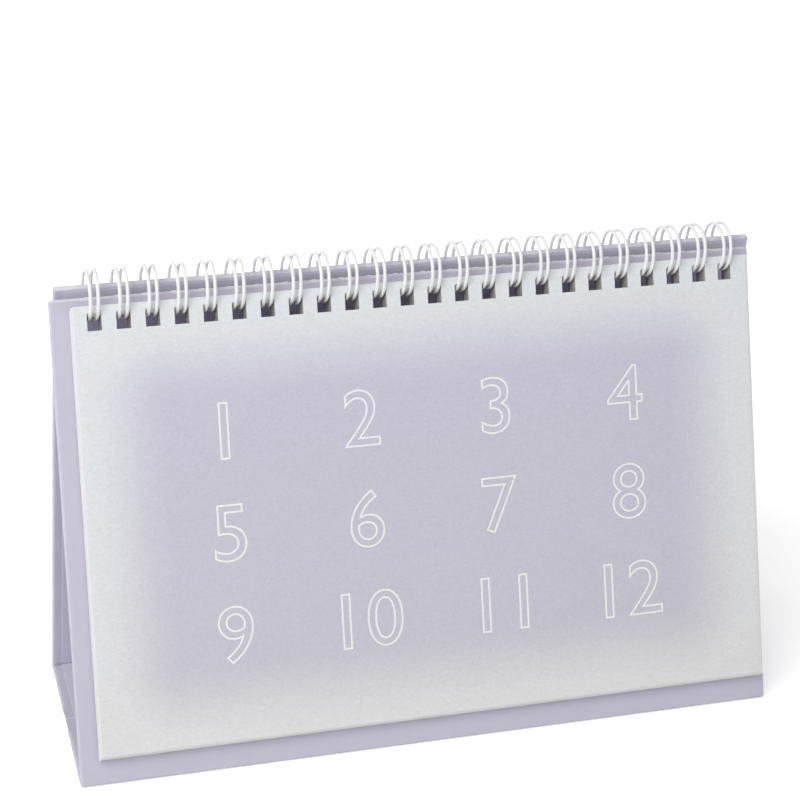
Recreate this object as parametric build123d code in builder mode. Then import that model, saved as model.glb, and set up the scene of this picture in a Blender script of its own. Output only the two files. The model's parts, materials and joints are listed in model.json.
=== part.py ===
"""Flip-over desk calendar: thirteen leaves on a twin-loop wire along the ridge of a folded easel.

The easel has four panels of greyboard, each wrapped in paper and lined: a front board, a rear board and
a base in two halves with a paper crease between them. X runs along the ridge, the front faces -Y and Z
is up. The origin is the middle of the whole object's footprint, on the table. Sizes are in millimetres.
"""

import os

from build123d import *
from math import asin, atan2, cos, degrees, dist, hypot, pi, radians, sin, sqrt, tan

# Easel: the four wrapped panels
BOARD_W = 217.0
BOARD_H = 143.75  # front board, up the slope from the table to its top edge
CORE_T = 2.0
PAPER_T = 0.15
EDGE_CHAMFER = 0.35  # softened edge of a wrapped panel
FRONT_LEAN = 15.5  # degrees from upright
BASE_DEPTH = 73.74  # between the outer faces of the two boards, at the table
LINING_SIDE = 2.8  # width of the turned-in rim beside a lining
LINING_TOP = 1.0  # width of the rim above it
FOLD_LEG = 5.0  # reach of a paper hinge on each of its two panels
FOLD_SLIT = 0.1  # between a paper hinge and the next panel's lining
FOLD_SIDE = 0.2  # a paper hinge stops this far inside a lining's side edges
BASE_INSET = 0.25  # between a corner's fold line and the base half
CREASE_HALF = 6.0  # bare paper on each side of the crease

# Binding wire: one wire, bent into pairs of loops
PITCH = 25.4 / 3  # three loops to the inch
ROW_MARGIN = 2.0  # least paper beyond the row of loops, at each end
WIRE_D = 0.9
WIRE_SIDES = 6
RING_R = 7.25  # to the middle of the wire
RING_ABOVE = 0.9  # ring's centre above the front board's top edge, up the slope
RING_BEHIND = 0.2  # ring's centre behind the front board's outer face
RING_TO_REAR = 5.9  # ring's centre to the rear board's outer face
REAR_ABOVE = 0.23  # rear board's top edge above the ring's centre, up its slope
ROW_SHIFT = 1.04  # front board's middle left of the row of loops, and rear board's middle right of it
SEAM_ANGLE = -76.0  # degrees, where the loops' roots lie, between the two boards
RING_STEPS = 12
TWIN_ROOT = 2.6  # between the two legs of a loop, at its root
TWIN_TIP = 2.1  # and at its tip
ROOT_BEND = 1.3
TIP_GAP = 1.7  # from a loop's tip to its root
LOOP_LEAN = 0.4  # sideways lean at the top of a loop

# Leaves
MONTHS = 12
LEAF_NARROWER = 7.8  # than the board
LEAF_FOOT = 10.05  # cover leaf's lower edge from the table, up the slope
LEAF_T = 0.27
LEAF_PITCH = 0.31
LEAF_GAP = 0.4  # between the last leaf and the front board
LEAF_SHIFT = 0.7  # leaf's middle from the middle of the row of loops
COVER_TRIM = 0.6  # the cover leaf is this much shorter at each end
LEAF_MARGIN = 2.1  # paper above the holes
HOLE_W = 4.2
HOLE_H = 5.2
LEAF_WIRE_CLEAR = 0.15
BOARD_WIRE_CLEAR = 0.4

# What follows from them
PANEL_T = CORE_T + 2 * PAPER_T
CORE_CHAMFER = EDGE_CHAMFER - PAPER_T * (2 - sqrt(2))
LINING_W = BOARD_W - 2 * LINING_SIDE
WIRE_R = WIRE_D / 2
LEAF_W = BOARD_W - LEAF_NARROWER
LOOPS = int((LEAF_W - 2 * ROW_MARGIN) / PITCH)
lean = radians(FRONT_LEAN)
axis_along = BOARD_H + RING_ABOVE
axis_from_front = axis_along * sin(lean) + RING_BEHIND * cos(lean)
axis_height = axis_along * cos(lean) - RING_BEHIND * sin(lean)
axis_to_foot = BASE_DEPTH - axis_from_front
rear_lean = atan2(axis_to_foot, axis_height) - asin(RING_TO_REAR / hypot(axis_to_foot, axis_height))


def leaf_out(number):
    """Distance of a leaf's back from the front board's face; the cover leaf is number 0."""
    return LEAF_GAP + (MONTHS - number) * LEAF_PITCH


def leaf_top(number):
    """Slope distance of a leaf's top edge, where its holes hang on the wire."""
    reach = leaf_out(number) + LEAF_T / 2 + RING_BEHIND
    tilt = asin(reach / RING_R)
    wire_top = WIRE_R / cos(tilt) + LEAF_T / 2 * tan(tilt) - RING_R * cos(tilt)
    return axis_along + wire_top + LEAF_WIRE_CLEAR + LEAF_MARGIN


LEAF_H = leaf_top(0) - LEAF_FOOT

# The cover leaf's lower edge reaches furthest forward and the rear board's foot furthest back
front_reach = (leaf_out(0) + LEAF_T) * cos(lean) - LEAF_FOOT * sin(lean)
front_foot = (PANEL_T - EDGE_CHAMFER) * tan(lean)
rear_foot = (PANEL_T - EDGE_CHAMFER) * tan(rear_lean)
rear_reach = -(rear_foot + EDGE_CHAMFER) * sin(rear_lean)
front_y = (front_reach - rear_reach - BASE_DEPTH) / 2
rear_y = front_y + BASE_DEPTH
axis_y = front_y + axis_from_front


def front_point(along, out):
    """(Y, Z) of a point on the front board's slope: along it, and out from its outer face."""
    y = front_y + along * sin(lean) - out * cos(lean)
    return (y, along * cos(lean) + out * sin(lean))


def rear_point(along, out):
    """(Y, Z) of a point on the rear board's slope: along it, and out from its outer face."""
    y = rear_y - along * sin(rear_lean) + out * cos(rear_lean)
    return (y, along * cos(rear_lean) + out * sin(rear_lean))


front_face = Plane((0, front_y, 0), x_dir=(1, 0, 0), z_dir=(0, -cos(lean), sin(lean)))
rear_face = Plane((0, rear_y, 0), x_dir=(1, 0, 0), z_dir=(0, -cos(rear_lean), -sin(rear_lean)))

# Fold lines of the two lower corners, level with the base's lining, and the crease between them
front_fold = PANEL_T * (1 + sin(lean)) / cos(lean)
rear_fold = PANEL_T * (1 + sin(rear_lean)) / cos(rear_lean)
front_corner = front_point(front_fold, -PANEL_T)
rear_corner = rear_point(rear_fold, -PANEL_T)
crease_y = (front_corner[0] + rear_corner[0]) / 2


def front_middle(along):
    """X of the front board's middle line."""
    return -ROW_SHIFT


def rear_middle(along):
    """X of the rear board's middle line."""
    return ROW_SHIFT


def base_middle(along):
    """X of the base's middle line, which runs askew from the front board's to the rear board's."""
    return ROW_SHIFT * (along - crease_y) / (rear_corner[0] - crease_y)


os.makedirs("parts", exist_ok=True)


def save(piece, name):
    """Label a finished piece and write it."""
    piece.part.label = name
    export_step(piece.part, "parts/" + name + ".step")


def hole_middle(depth):
    """Middle of a board's holes along its slope, from the ring's centre, for its face at this depth."""
    tilt = asin(depth / RING_R)
    return HOLE_H / 2 - RING_R * cos(tilt) - WIRE_R / cos(tilt) - BOARD_WIRE_CLEAR


def outline(middle, width, low, high):
    """A sheet's outline between two ends, half its width to each side of a middle line."""
    Polygon(
        (middle(low) - width / 2, low),
        (middle(low) + width / 2, low),
        (middle(high) + width / 2, high),
        (middle(high) - width / 2, high),
        align=None,
    )


def panel(name, face, inward, middle, span, window, lining, holes=None):
    """Core, cover paper and lining of one panel, drawn on its outer face.

    inward is +1 where the face's normal points into the panel, else -1. span, window and lining are the
    (low, high) ends of the panel, of the opening in the turned-in paper and of the lining sheet.
    """
    low, high = span
    into = Axis((0, 0, 0), face.z_dir * inward)
    with BuildPart() as core:
        with BuildSketch(face.offset(inward * PAPER_T)):
            outline(middle, BOARD_W - 2 * PAPER_T, low + PAPER_T, high - PAPER_T)
        extrude(amount=inward * CORE_T)
        sides = core.faces().sort_by(into)
        chamfer(sides[0].edges() + sides[-1].edges(), length=CORE_CHAMFER)

    with BuildPart() as cover:
        with BuildSketch(face):
            outline(middle, BOARD_W, low, high)
        extrude(amount=inward * PANEL_T)
        sides = cover.faces().sort_by(into)
        chamfer(sides[0].edges() + sides[-1].edges(), length=EDGE_CHAMFER)
        add(core.part, mode=Mode.SUBTRACT)
        with BuildSketch(face.offset(inward * (PANEL_T - PAPER_T))):
            outline(middle, LINING_W, *window)
        extrude(amount=inward * PAPER_T, mode=Mode.SUBTRACT)

    with BuildPart() as sheet:
        with BuildSketch(face.offset(inward * (PANEL_T - PAPER_T))):
            outline(middle, LINING_W, *lining)
        extrude(amount=inward * PAPER_T)

    pieces = {name + "_board": core, name + "_cover_paper": cover, name + "_lining": sheet}
    for piece_name, piece in pieces.items():
        if holes is not None:
            with piece:
                with BuildSketch(face):
                    with Locations((0, holes)):
                        with GridLocations(PITCH, 1, LOOPS, 1):
                            Rectangle(HOLE_W, HOLE_H)
                extrude(amount=inward * PANEL_T, mode=Mode.SUBTRACT)
        save(piece, piece_name)


def strip(name, middle, profile):
    """A strip of folded paper nearly as long as the linings, from its profile in (Y, Z)."""
    with BuildPart() as paper:
        with BuildSketch(Plane.YZ.offset(middle)):
            with BuildLine():
                Polyline(*profile, close=True)
            make_face()
        extrude(amount=LINING_W / 2 - FOLD_SIDE, both=True)
    save(paper, name)


# Front and rear boards
layer = PANEL_T - PAPER_T
front_seat = layer * (1 + sin(lean)) / cos(lean)
rear_seat = layer * (1 + sin(rear_lean)) / cos(rear_lean)
rear_axis_along = (rear_y - axis_y) * sin(rear_lean) + axis_height * cos(rear_lean)
rear_top = rear_axis_along + REAR_ABOVE
panel(
    "front",
    front_face,
    -1,
    front_middle,
    span=(front_foot, BOARD_H),
    window=(front_seat, BOARD_H - LINING_TOP),
    lining=(front_fold + FOLD_LEG, BOARD_H - LINING_TOP),
    holes=axis_along + hole_middle(0),
)
panel(
    "rear",
    rear_face,
    1,
    rear_middle,
    span=(rear_foot, rear_top),
    window=(rear_seat, rear_top - LINING_TOP),
    lining=(rear_fold + FOLD_LEG, rear_top - LINING_TOP),
    holes=rear_axis_along + hole_middle(RING_TO_REAR - PANEL_T),
)

# Base halves, whose linings run out at both ends under the paper hinges
base_front = (front_corner[0] + BASE_INSET, crease_y - CREASE_HALF)
base_rear = (crease_y + CREASE_HALF, rear_corner[0] - BASE_INSET)
panel(
    "base_front",
    Plane.XY,
    1,
    base_middle,
    span=base_front,
    window=base_front,
    lining=(front_corner[0] + FOLD_LEG + FOLD_SLIT, base_front[1] - FOLD_LEG),
)
panel(
    "base_rear",
    Plane.XY,
    1,
    base_middle,
    span=base_rear,
    window=base_rear,
    lining=(base_rear[0] + FOLD_LEG, rear_corner[0] - FOLD_LEG - FOLD_SLIT),
)

# Paper hinges in the two lower corners
strip(
    "front_fold_paper",
    -ROW_SHIFT,
    [
        front_point(front_fold + FOLD_LEG, -PANEL_T),
        front_point(front_fold + FOLD_LEG, -layer),
        front_point(front_seat, -layer),
        (front_corner[0] + FOLD_LEG, layer),
        (front_corner[0] + FOLD_LEG, PANEL_T),
        front_corner,
    ],
)
strip(
    "rear_fold_paper",
    ROW_SHIFT,
    [
        rear_point(rear_fold + FOLD_LEG, -PANEL_T),
        rear_point(rear_fold + FOLD_LEG, -layer),
        rear_point(rear_seat, -layer),
        (rear_corner[0] - FOLD_LEG, layer),
        (rear_corner[0] - FOLD_LEG, PANEL_T),
        rear_corner,
    ],
)

# The crease: cover paper and lining glued together, a strip on each half, as wide as the boards
for name, end, way in (("base_front", base_front[1], 1), ("base_rear", base_rear[0], -1)):
    root = end - way * FOLD_LEG
    edge = crease_y - way * FOLD_SLIT / 2
    with BuildPart() as crease:
        with BuildSketch(Plane.XY.offset(layer)):
            outline(base_middle, LINING_W, min(root, edge), max(root, edge))
        extrude(amount=PAPER_T)
        with BuildSketch(Plane.XY.offset(layer - PAPER_T)):
            outline(base_middle, BOARD_W, min(end, edge), max(end, edge))
        extrude(amount=2 * PAPER_T)
    save(crease, name + "_crease")

# Leaves, each hung on the wire by its own holes
for number in range(MONTHS + 1):
    top = leaf_top(number)
    width = LEAF_W - 2 * COVER_TRIM if number == 0 else LEAF_W
    with BuildPart() as leaf:
        with BuildSketch(front_face.offset(leaf_out(number))):
            with Locations((LEAF_SHIFT, top - LEAF_H / 2)):
                Rectangle(width, LEAF_H)
            with Locations((0, top - LEAF_MARGIN - HOLE_H / 2)):
                with GridLocations(PITCH, 1, LOOPS, 1):
                    Rectangle(HOLE_W, HOLE_H, mode=Mode.SUBTRACT)
        extrude(amount=LEAF_T)
    save(leaf, "cover_leaf" if number == 0 else f"month_leaf_{number:02d}")

# Binding wire: a loop unrolled on the ring's cylinder as (across, arc from the root)
loop_end = 2 * pi * RING_R - TIP_GAP - TWIN_TIP / 2
ring_step = (loop_end - ROOT_BEND) / RING_STEPS
left_leg = []
for turn in (0, 45, 90):
    across = -TWIN_ROOT / 2 - ROOT_BEND + ROOT_BEND * sin(radians(turn))
    left_leg.append((across, ROOT_BEND - ROOT_BEND * cos(radians(turn))))
for step in range(1, RING_STEPS + 1):
    across = -(TWIN_ROOT + (TWIN_TIP - TWIN_ROOT) * step / RING_STEPS) / 2
    left_leg.append((across, ROOT_BEND + ring_step * step))
left_leg.append((-TWIN_TIP / 2 * cos(radians(60)), loop_end + TWIN_TIP / 2 * sin(radians(60))))
loop = left_leg + [(-across, arc) for across, arc in reversed(left_leg)]


def on_ring(across, arc):
    """A point of the wire. The ring's flats lie outside RING_R, so the leaves' holes clear them."""
    turn = arc / RING_R
    radius = RING_R / cos(ring_step / RING_R / 2)
    angle = radians(SEAM_ANGLE) + turn
    across = across + LOOP_LEAN * (1 - cos(turn)) / 2
    return (across, axis_y + radius * cos(angle), axis_height + radius * sin(angle))


half_link = PITCH / 2
row = [(number - (LOOPS - 1) / 2) * PITCH for number in range(LOOPS)]
route = [on_ring(row[0] - half_link, 0)]
for middle in row:
    route += [on_ring(middle + across, arc) for across, arc in loop]
route.append(on_ring(row[-1] + half_link, 0))

with BuildLine() as wire_line:
    Polyline(*route)
with BuildPart() as wire:
    with BuildSketch(Plane(route[0], x_dir=(0, 0, 1), z_dir=(1, 0, 0))):
        RegularPolygon(WIRE_R, WIRE_SIDES)
    sweep(path=wire_line.wires()[0], transition=Transition.RIGHT)
save(wire, "twin_loop_wire")

# Least gap of the wire to itself, on points of two neighbouring loops, past the length of one bend
near = []
length = 0
for start, end in zip(route[: 2 * len(loop) + 1], route[1:]):
    span = dist(start, end)
    for part in range(8):
        share = part / 8
        point = [a + (b - a) * share for a, b in zip(start, end)]
        near.append((length + span * share, point))
    length += span
bend_length = pi * TWIN_TIP / 2 + WIRE_D
least = min(
    dist(first, second)
    for here, first in near
    for there, second in near
    if there - here > bend_length
)
print("least gap of the wire to itself", round(least - WIRE_D, 2))
print("ring axis", round(axis_y, 3), round(axis_height, 3), "rear lean", round(degrees(rear_lean), 3))
print("front corner", front_corner, "rear corner", rear_corner, "crease", round(crease_y, 3))
print("base halves", base_front, base_rear, "rear board top", round(rear_top, 3))
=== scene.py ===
"""Looks of a flip-over desk calendar on a folded easel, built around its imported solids.

Every new piece is a surface worked out as whole arrays, and it takes its place and its main sizes from
the CAD node that it stands for.
"""

import json
import math
from typing import NamedTuple

import bmesh
import bpy
import numpy as np
from bpy.props import FloatProperty, FloatVectorProperty, PointerProperty
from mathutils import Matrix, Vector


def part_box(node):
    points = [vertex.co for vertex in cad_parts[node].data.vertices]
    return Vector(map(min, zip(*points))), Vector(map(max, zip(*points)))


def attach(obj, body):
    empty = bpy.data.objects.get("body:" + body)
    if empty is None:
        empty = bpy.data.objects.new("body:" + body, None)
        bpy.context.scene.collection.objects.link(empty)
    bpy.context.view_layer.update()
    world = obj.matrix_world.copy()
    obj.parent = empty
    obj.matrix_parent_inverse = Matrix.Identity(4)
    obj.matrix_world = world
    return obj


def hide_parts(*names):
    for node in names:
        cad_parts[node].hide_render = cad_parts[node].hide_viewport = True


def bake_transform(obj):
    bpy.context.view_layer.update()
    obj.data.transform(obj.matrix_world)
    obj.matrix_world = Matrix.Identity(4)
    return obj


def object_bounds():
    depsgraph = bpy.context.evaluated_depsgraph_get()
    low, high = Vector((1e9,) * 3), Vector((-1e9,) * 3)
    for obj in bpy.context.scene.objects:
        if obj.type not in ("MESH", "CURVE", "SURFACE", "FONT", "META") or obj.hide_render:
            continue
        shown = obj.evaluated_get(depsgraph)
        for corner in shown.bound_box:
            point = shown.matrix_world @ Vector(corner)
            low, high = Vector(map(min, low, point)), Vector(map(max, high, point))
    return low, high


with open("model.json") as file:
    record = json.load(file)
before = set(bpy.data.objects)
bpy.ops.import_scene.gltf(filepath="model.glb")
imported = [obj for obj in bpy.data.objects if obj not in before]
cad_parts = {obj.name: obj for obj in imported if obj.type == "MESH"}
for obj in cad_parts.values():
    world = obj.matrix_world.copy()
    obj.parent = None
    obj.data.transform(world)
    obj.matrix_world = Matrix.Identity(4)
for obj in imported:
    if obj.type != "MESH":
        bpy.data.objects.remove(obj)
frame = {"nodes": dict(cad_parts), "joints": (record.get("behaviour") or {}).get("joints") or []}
CAD_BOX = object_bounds()

bl_info = {
    "name": "Flip-over desk calendar",
    "version": (1, 0, 0),
    "blender": (4, 5, 0),
    "location": "3D View > Sidebar > Calendar",
    "description": "Paper, wire and print of a desk calendar on a folded easel",
    "category": "Add Mesh",
}

MM = 0.001
ACROSS = np.array([1.0, 0.0, 0.0])
UPWARD = np.array([0.0, 0.0, 1.0])
FRONTWARD = np.array([0.0, -1.0, 0.0])
DOWNWARD = np.array([0.0, 0.0, -1.0])
BOTH_WAYS = np.array([-1, 1])
QUARTER_TURN = math.pi / 2
WHITE = (1, 1, 1, 1)
MONTH_DAYS = (31, 28, 31, 30, 31, 30, 31, 31, 30, 31, 30, 31)
FIRST_WEEKDAY = 3


def paint(red, green, blue):
    """Linear colour, with alpha, of a paint given in 0 to 255 as a screen shows it."""
    shown = np.array([red, green, blue]) / 255
    linear = np.where(shown <= 0.04045, shown / 12.92, ((shown + 0.055) / 1.055) ** 2.4)
    return (*linear.tolist(), 1.0)


def length(name, description, default):
    """A length that the sidebar shows in the scene's unit."""
    return FloatProperty(name=name, description=description, default=default, unit="LENGTH", precision=5)


def power(name, description, default):
    """A lamp's power in watts."""
    return FloatProperty(name=name, description=description, default=default, unit="POWER")


def colour(name, description, default):
    """A colour with alpha."""
    return FloatVectorProperty(
        name=name, description=description, default=default, size=4, min=0, max=1, subtype="COLOR"
    )


def joint_point(name):
    """A point on a joint's axis."""
    return np.array(next(joint for joint in frame["joints"] if joint["name"] == name)["pos_m"], float)


# Properties


class CalendarSizes(bpy.types.PropertyGroup):
    """Sizes that the solids leave open."""

    edge_roll: length("Edge roll", "Radius of the paper rolled over a board's edge", 0.8 * MM)
    hole_cover: length("Hole cover", "How far the cut edge of a board stands into its holes", 0.06 * MM)
    front_hole_drop: length("Front hole drop", "Front board's holes below those of its solid", 2.75 * MM)
    rear_hole_drop: length("Rear hole drop", "Rear board's holes below those of its solid", 1.0 * MM)
    fold_leg: length("Fold leg", "How far a paper hinge reaches on each side of its fold", 1.8 * MM)
    lining_proud: length("Lining proud", "Height of a lining sheet above the turned-in paper", 0.1 * MM)
    crease_dip: length("Crease dip", "Depth of the fold mark along the crease", 0.25 * MM)
    leaf_bow: length("Leaf bow", "How far the leaves curve away from the board at the foot", 0.3 * MM)
    ink_height: length("Ink height", "Height of the printed figures above their leaf", 0.015 * MM)
    wire_diameter: length("Wire", "Diameter of the coated wire", 1.05 * MM)
    ring_radius: length("Ring radius", "From the ring's axis to the middle of the wire", 7.25 * MM)
    ring_flat: length("Ring flat", "How far the top of the rings is pressed down", 0.05 * MM)
    loop_pitch: length("Loop pitch", "From one loop to the next", 25.4 / 3 * MM)
    twin_root: length("Twin root", "Between the two legs of a loop at its root", 2.6 * MM)
    twin_tip: length("Twin tip", "Between the two legs of a loop at its tip", 2.1 * MM)
    loop_lean: length("Loop lean", "Sideways lean at the top of a loop", 0.3 * MM)
    loop_twist: length("Loop twist", "Sideways offset of the last loop's front against its rear", 0.3 * MM)


class CalendarColours(bpy.types.PropertyGroup):
    """Paper, board, wire and ink."""

    cover_paper: colour("Cover paper", "Lilac paper wrapped round the boards", paint(204, 201, 217))
    # paler paper for the scuffed crease, and for a painted highlight along the boards' rolled edges
    worn_paper: colour("Worn paper", "Where the wrapped edges are rubbed", paint(230, 229, 236))
    lining_paper: colour("Lining paper", "Lilac sheets inside the easel", paint(213, 210, 225))
    greyboard: colour("Greyboard", "Cut edge of the boards", paint(122, 119, 118))
    leaf_paper: colour("Leaf paper", "White coated stock of the leaves", paint(240, 239, 238))
    # painted shade: the leaves' hole walls are white paper, drawn darker for the shade inside the holes
    leaf_cut: colour("Leaf cut", "Cut edges of the leaves inside their holes", paint(178, 174, 168))
    leaf_border: colour("Leaf border", "Cover leaf outside its glow, at the top", paint(233, 236, 239))
    leaf_foot: colour("Leaf foot", "Cover leaf outside its glow, at the foot", paint(232, 232, 232))
    leaf_glow: colour("Leaf glow", "Soft lilac field of the cover leaf, at the top", paint(207, 204, 222))
    glow_foot: colour("Glow foot", "Soft lilac field of the cover leaf, at the foot", paint(206, 204, 213))
    wire_coat: colour("Wire coat", "White coating of the wire", paint(252, 252, 252))
    ink: colour("Ink", "Day figures", paint(88, 84, 104))
    accent_ink: colour("Accent ink", "Month figures and rules", paint(170, 160, 200))


class CalendarStage(bpy.types.PropertyGroup):
    """Camera and light."""

    camera_place: FloatVectorProperty(
        name="Camera place", description="Where the camera stands", subtype="TRANSLATION", unit="LENGTH",
        default=(-0.193097, -0.629482, 0.379294),
    )
    camera_turn: FloatVectorProperty(
        name="Camera turn", description="How the camera is turned", subtype="EULER", unit="ROTATION",
        default=(math.radians(69.292), math.radians(-1.296), math.radians(-16.118)),
    )
    camera_lens: FloatProperty(
        name="Lens", description="Focal length on a 36 mm sensor", default=106.11, unit="CAMERA"
    )
    camera_rise: FloatProperty(name="Rise", description="Upward shift of the picture's frame", default=-0.125)
    key_power: power("Key", "Power of the softbox at the left", 6.6)
    fill_power: power("Fill", "Power of the softbox at the right", 0.4)
    rim_power: power("Rim", "Power of the softbox beyond the left side", 0.9)
    room_light: FloatProperty(name="Room", description="Strength of the light from all round", default=0.4, min=0)


# Meshes

SHARP_ANGLE = math.radians(40)
MERGE_STEPS_PER_METRE = 1e7


def read(collection, name, width):
    """One attribute of a mesh's points or faces as an array of rows."""
    values = np.empty(len(collection) * width, np.float32)
    collection.foreach_get(name, values)
    return values.reshape(-1, width).astype(float)


def face_corners(faces):
    """Point numbers of the three corners of each triangle."""
    numbers = np.empty(len(faces) * 3, np.int32)
    faces.foreach_get("vertices", numbers)
    return numbers.reshape(-1, 3)


def breaks(values):
    """The different values among the given ones, to the micrometre, in order."""
    return np.unique(np.round(values, 6))


class Sheet:
    """The plane of a flat CAD node, with the node's extents in it.

    out is the normal of the node's largest triangle, turned towards the given side, and along is square
    to it and to the ridge. A point's places along and out are its dot products with these. skew is how
    far the middle line moves across for each step along, and edges are the side edges' places half way
    along, as far apart as at the wider end. The ends are the bands END_BAND wide at each end of along.
    """

    END_BAND = 1.0 * MM

    def __init__(self, node_name, side):
        mesh = frame["nodes"][node_name].data
        points = read(mesh.vertices, "co", 3)
        normals = read(mesh.polygons, "normal", 3)
        out = normals[read(mesh.polygons, "area", 1).argmax()]
        self.out = out * np.sign(out @ side)
        along = np.cross(self.out, ACROSS)
        self.along = along * np.sign(along[np.abs(along).argmax()])
        places = points @ self.along
        self.xs = breaks(points[:, 0])
        self.ss = breaks(places)
        self.depths = breaks(points @ self.out)
        ends = [points[np.abs(places - end) < self.END_BAND, 0] for end in self.ss[[0, -1]]]
        centres = [(end.min() + end.max()) / 2 for end in ends]
        self.skew = (centres[1] - centres[0]) / np.ptp(self.ss)
        self.edges = np.mean(centres) + max(np.ptp(end) for end in ends) / 2 * BOTH_WAYS
        self.middle = (self.ss[0] + self.ss[-1]) / 2

    def place(self, flat):
        """Points in space of rows of (across, along, out), moved across by the skew."""
        across = flat[..., :1] + self.skew * (flat[..., 1:2] - self.middle)
        return across * ACROSS + flat[..., 1:2] * self.along + flat[..., 2:] * self.out


def quads(rows, columns, close=False):
    """Corner numbers of the faces of a grid of points; close joins the last row to the first."""
    row = np.arange(rows if close else rows - 1)[:, None] * columns
    after = (row + columns) % (rows * columns)
    column = np.arange(columns - 1)[None, :]
    corners = (row + column, row + column + 1, after + column + 1, after + column)
    return np.stack(corners, -1).reshape(-1, 4)


def join(patches):
    """One set of points and triangles from (points, quads) patches.

    Each quad is cut in two, points that agree to a tenth of a micrometre become one, and a triangle that
    loses a corner by it is dropped.
    """
    points, faces, start = [], [], 0
    for patch_points, patch_quads in patches:
        patch_points = patch_points.reshape(-1, 3)
        points.append(patch_points)
        faces.append(patch_quads + start)
        start += len(patch_points)
    points = np.concatenate(points)
    faces = np.concatenate(faces)
    steps = np.round(points * MERGE_STEPS_PER_METRE).astype(np.int64)
    _, first, where = np.unique(steps, axis=0, return_index=True, return_inverse=True)
    faces = where.reshape(-1)[faces]
    triangles = np.concatenate([faces[:, [0, 1, 2]], faces[:, [0, 2, 3]]])
    a, b, c = triangles.T
    return points[first], triangles[(a != b) & (b != c) & (a != c)]


def make_piece(name, points, triangles, materials, smooth=True, fix_normals=True):
    """A mesh object at the origin from points in space and triangles."""
    mesh = bpy.data.meshes.new(name)
    mesh.from_pydata(points.tolist(), [], triangles.tolist())
    if fix_normals:
        work = bmesh.new()
        work.from_mesh(mesh)
        bmesh.ops.recalc_face_normals(work, faces=work.faces)
        work.to_mesh(mesh)
        work.free()
    mesh.polygons.foreach_set("use_smooth", np.full(len(mesh.polygons), smooth))
    if smooth:
        mesh.set_sharp_from_angle(angle=SHARP_ANGLE)
    for material in materials:
        mesh.materials.append(material)
    piece = bpy.data.objects.new(name, mesh)
    bpy.context.scene.collection.objects.link(piece)
    return piece


def set_attribute(piece, name, values):
    """A number on each point of a piece, for its material to read."""
    attribute = piece.data.attributes.new(name, "FLOAT", "POINT")
    attribute.data.foreach_set("value", np.asarray(values, np.float32))


def set_slots(piece, numbers):
    """Which of its materials each face of a piece takes."""
    piece.data.polygons.foreach_set("material_index", np.asarray(numbers, np.int32))


def set_uv(piece, pairs):
    """UV map named sheet from one (u, v) row for each point."""
    corner = np.empty(len(piece.data.loops), np.int32)
    piece.data.loops.foreach_get("vertex_index", corner)
    layer = piece.data.uv_layers.new(name="sheet")
    layer.data.foreach_set("uv", np.asarray(pairs, np.float32)[corner].ravel())


def rolled_plate(xs, ss, back, front, roll, turns, holes=None, hole_in=0.0):
    """Patches of a plate with rolled edges and square holes, as rows of (across, along, out).

    xs and ss are the grid's breaks, the outermost ones the plate's edges, which the two faces stop short
    of by roll. The edge is a profile carried round that inner rectangle: roll * sin(a) outwards and
    roll * (1 - cos(a)) down from each face, a running over a quarter turn. At each corner the outward
    direction turns by a quarter too. holes marks the grid's open cells, whose walls stand hole_in inside.
    """
    inner_x = np.clip(xs, xs[0] + roll, xs[-1] - roll)
    inner_s = np.clip(ss, ss[0] + roll, ss[-1] - roll)
    if holes is None:
        holes = np.zeros((len(ss) - 1, len(xs) - 1), bool)
    low, left = np.nonzero(holes)
    grid_x, grid_s = np.meshgrid(inner_x, inner_s)
    walls = np.stack([inner_x[left] + hole_in, inner_x[left + 1] - hole_in], -1)
    rises = np.stack([inner_s[low] + hole_in, inner_s[low + 1] - hole_in], -1)
    for step in (0, 1):
        grid_x[low + step, left] = walls[:, 0]
        grid_x[low + step, left + 1] = walls[:, 1]
        grid_s[low, left + step] = rises[:, 0]
        grid_s[low + 1, left + step] = rises[:, 1]
    solid = quads(len(ss), len(xs))[~holes.ravel()]
    patches = [
        (np.stack([grid_x, grid_s, np.full_like(grid_x, depth)], -1), solid) for depth in (front, back)
    ]
    if len(left):
        ring_x = walls[:, [0, 1, 1, 0], None]
        ring_s = rises[:, [0, 0, 1, 1], None]
        wall = np.stack(np.broadcast_arrays(ring_x, ring_s, np.array([front, back])), -1)
        wall_quads = quads(4, 2, close=True)[None] + (np.arange(len(left)) * 8)[:, None, None]
        patches.append((wall, wall_quads.reshape(-1, 4)))
    quarter = np.linspace(0, QUARTER_TURN, turns + 1)
    sides = (
        (inner_x, np.full_like(inner_x, inner_s[0])),
        (np.full_like(inner_s, inner_x[-1]), inner_s),
        (inner_x[::-1], np.full_like(inner_x, inner_s[-1])),
        (np.full_like(inner_s, inner_x[0]), inner_s[::-1]),
    )
    path_x, path_s, heading = [], [], []
    for number, (side_x, side_s) in enumerate(sides):
        angle = (number - 1) * QUARTER_TURN
        path_x += [side_x, np.full(turns - 1, side_x[-1])]
        path_s += [side_s, np.full(turns - 1, side_s[-1])]
        heading += [np.full(len(side_x), angle), angle + quarter[1:-1]]
    path_x, path_s, heading = (np.concatenate(part)[:, None] for part in (path_x, path_s, heading))
    reach = np.concatenate([roll * np.sin(quarter), roll * np.sin(quarter[::-1])])
    drop = roll * (1 - np.cos(quarter))
    depth = np.concatenate([front - drop, back + drop[::-1]])
    edge_x = path_x + np.cos(heading) * reach
    edge_s = path_s + np.sin(heading) * reach
    edge = np.stack(np.broadcast_arrays(edge_x, edge_s, depth), -1)
    patches.append((edge, quads(len(path_x), len(depth), close=True)))
    return patches


def with_supports(values, gap, pieces=1, holes=()):
    """Breaks with more breaks between, in equal pieces from a small gap inside each end, none in a hole."""
    values = breaks(values)
    added = np.linspace(values[0] + gap, values[-1] - gap, pieces + 1)
    spans = np.reshape(holes, (-1, 2))
    inside = ((added[:, None] > spans[:, 0]) & (added[:, None] < spans[:, 1])).any(axis=1)
    return breaks(np.concatenate([values, added[~inside]]))


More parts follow.
